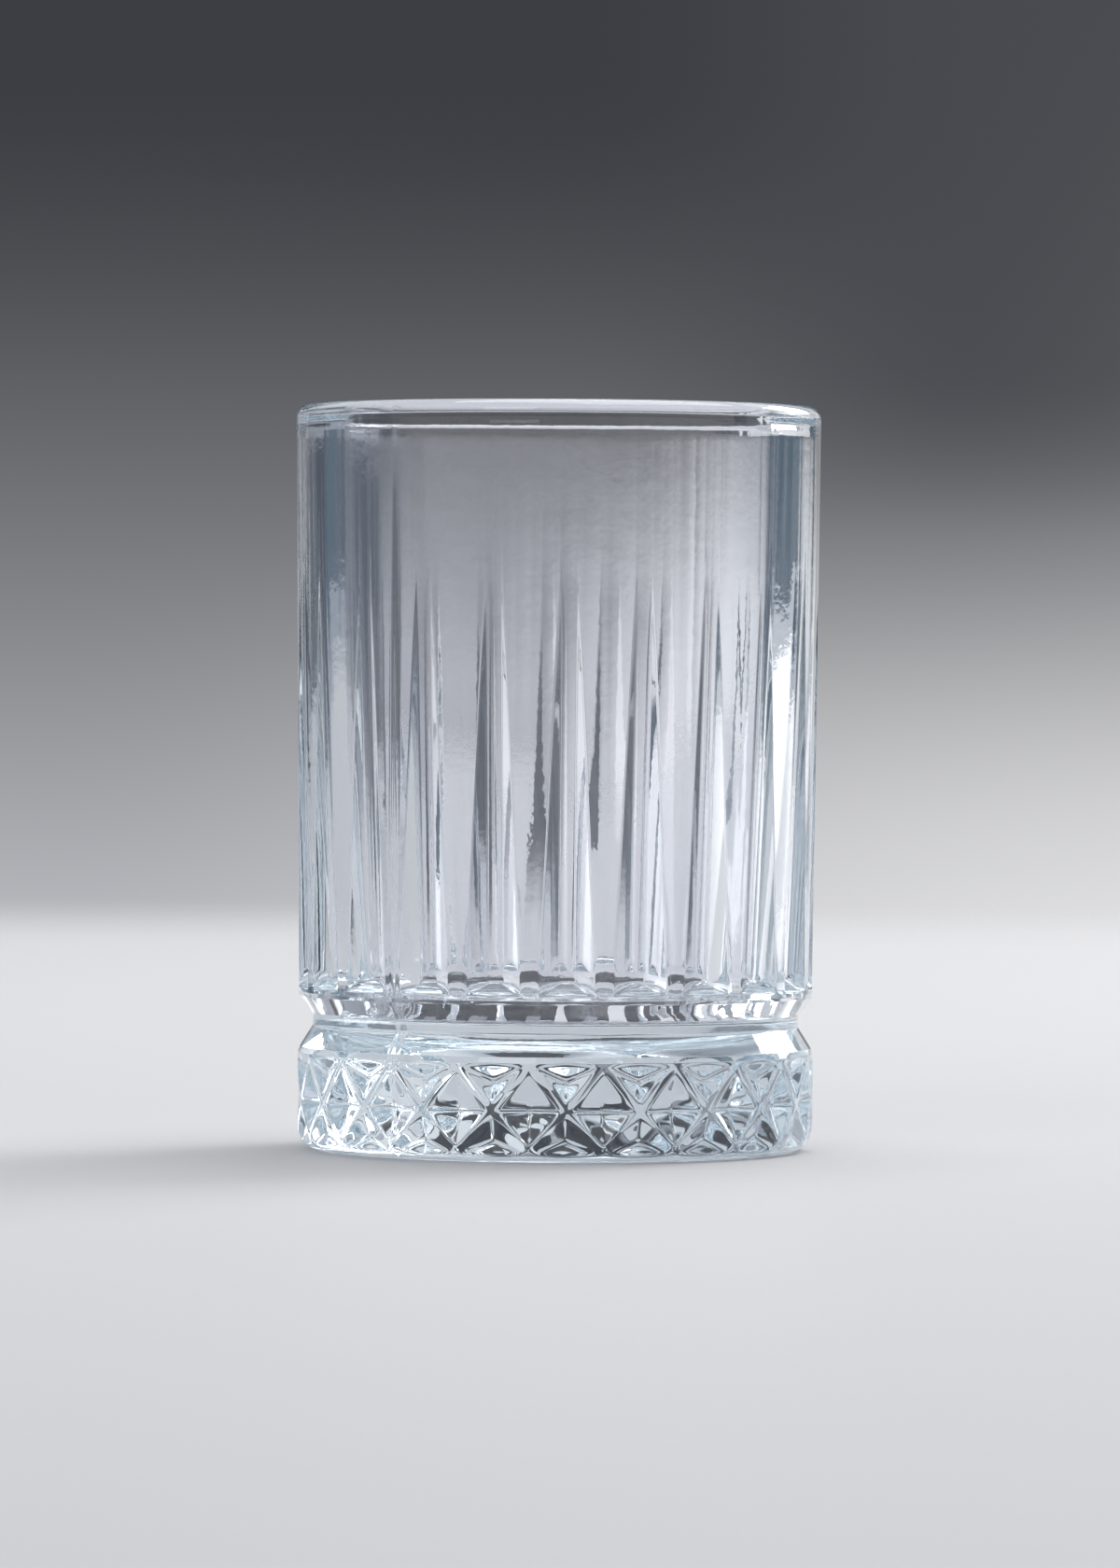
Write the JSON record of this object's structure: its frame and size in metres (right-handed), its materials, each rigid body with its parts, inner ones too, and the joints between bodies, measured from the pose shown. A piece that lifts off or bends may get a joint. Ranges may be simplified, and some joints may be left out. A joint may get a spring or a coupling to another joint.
{
  "type": "shot glass",
  "caption": "Clear pressed shot glass with a thick straight bowl, tall tapering flutes, a narrow waist and a heavy foot cut with crosses; for a short measure of spirit",
  "frame": {"origin": "on the glass's axis, at the level of the table that the foot stands on", "axes": "+Z is the axis of the glass, from the foot to the rim; +X points at one of the two mould seams; -Y faces the middle of a flute and of a cross"},
  "size_m": [0.046, 0.046, 0.0652],
  "materials": {
    "clear_glass": "fire-polished"
  },
  "bodies": {
    "root": {"foot": "clear_glass", "waist": "clear_glass", "sham": "clear_glass", "fluted_wall": "clear_glass", "rim": "clear_glass"}
  },
  "joints": []
}
